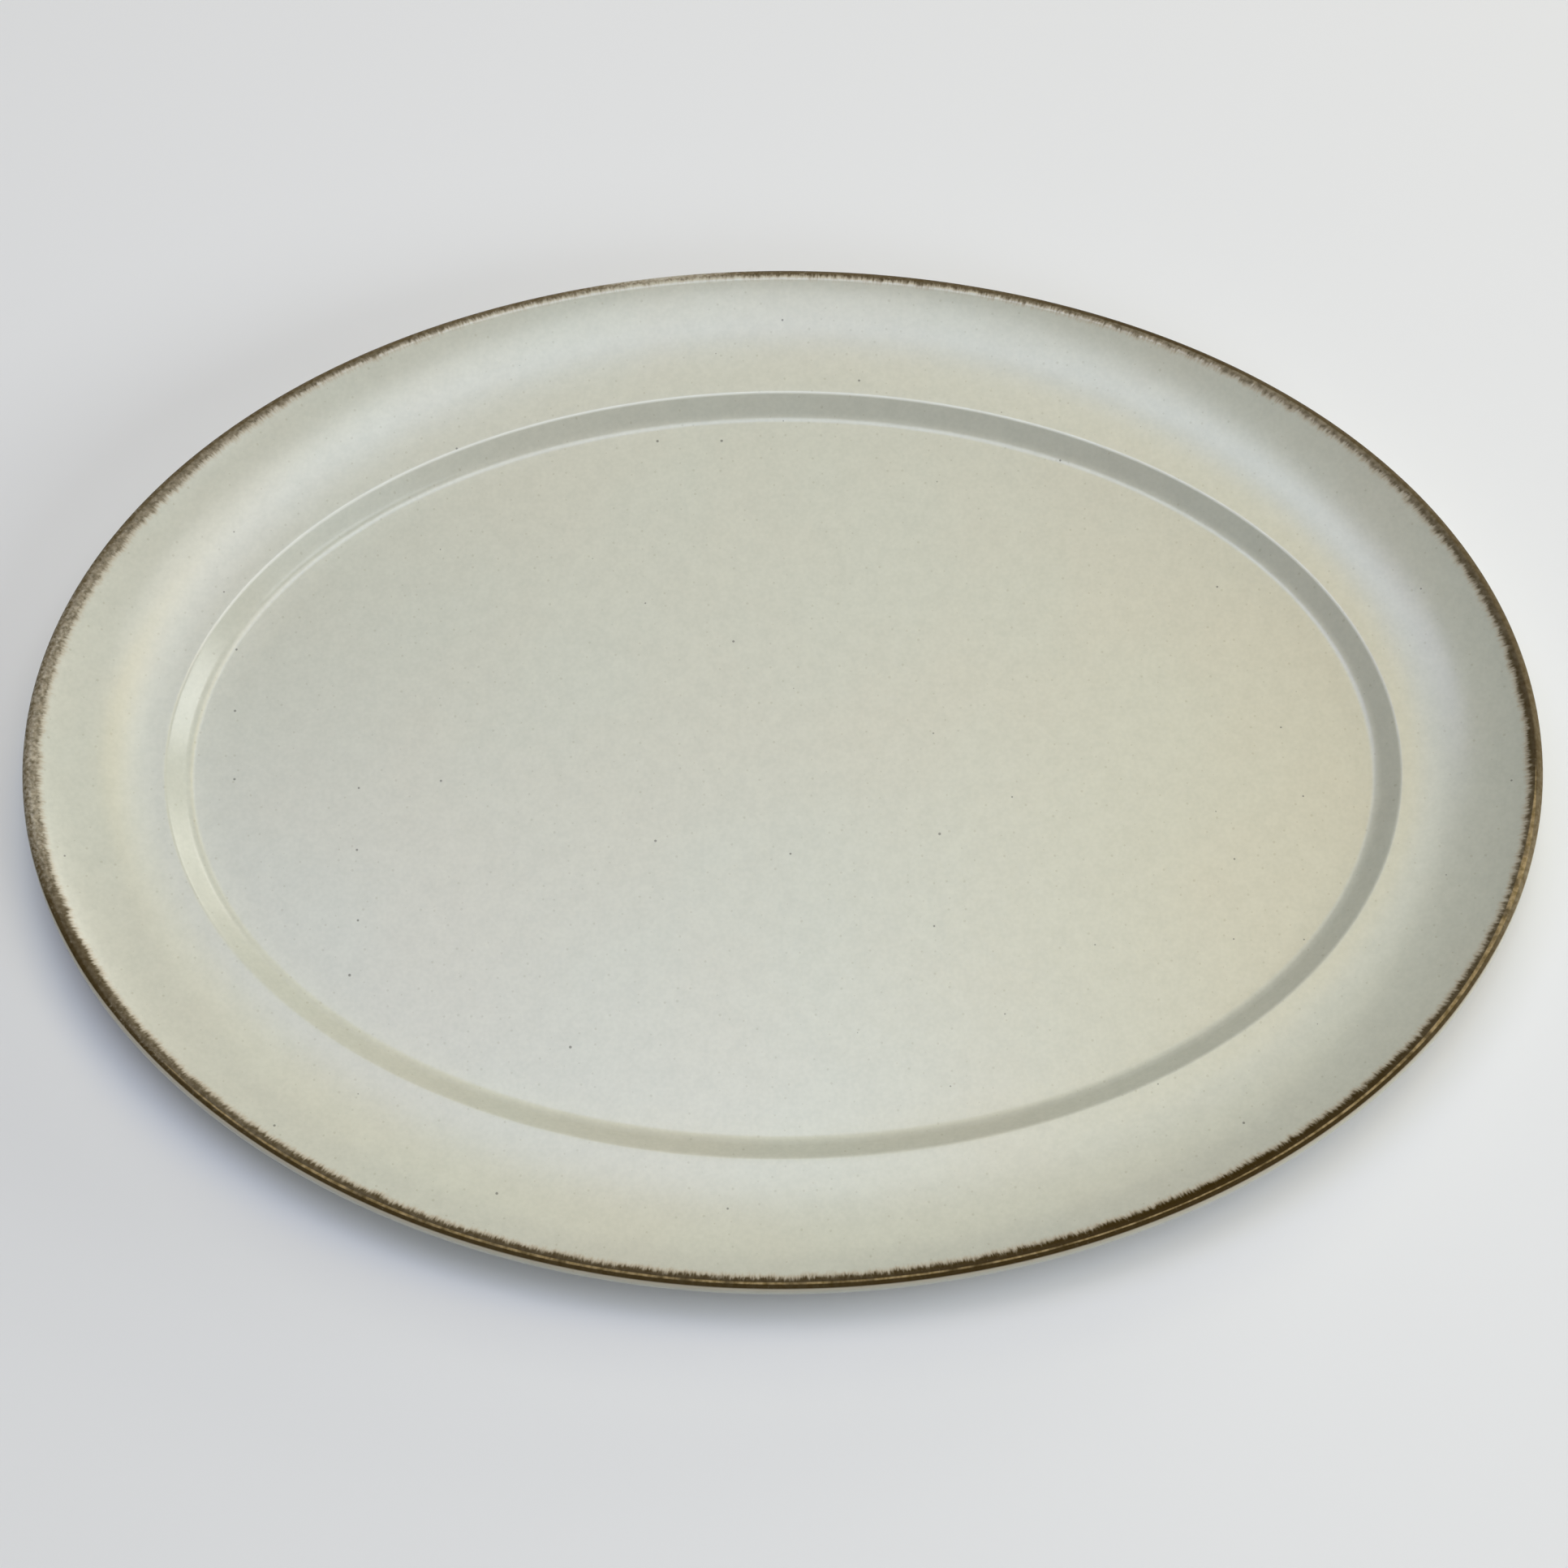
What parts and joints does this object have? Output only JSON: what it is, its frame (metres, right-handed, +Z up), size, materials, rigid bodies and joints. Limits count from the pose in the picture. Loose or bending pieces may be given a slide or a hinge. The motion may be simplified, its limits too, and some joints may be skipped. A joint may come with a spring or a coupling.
{
  "type": "oval serving platter",
  "caption": "Oval rimmed stoneware serving platter with a flat stepped well, an upturned rim with raised ends, a brown-edged round lip and a bare foot ring, for carrying and serving food.",
  "frame": {"origin": "middle of the plane that the foot ring rests on", "axes": "+X along the platter's length, +Y across its width, +Z up out of the well"},
  "size_m": [0.356, 0.254, 0.027],
  "materials": {
    "bare_clay": "matte",
    "face_glaze": "satin",
    "brown_glaze": "satin",
    "back_glaze": "satin",
    "base_glaze": "satin"
  },
  "bodies": {
    "root": {"stoneware_body": "bare_clay", "face_glaze": "face_glaze", "lip_band": "brown_glaze", "back_glaze": "back_glaze", "base_glaze": "base_glaze"}
  },
  "joints": []
}
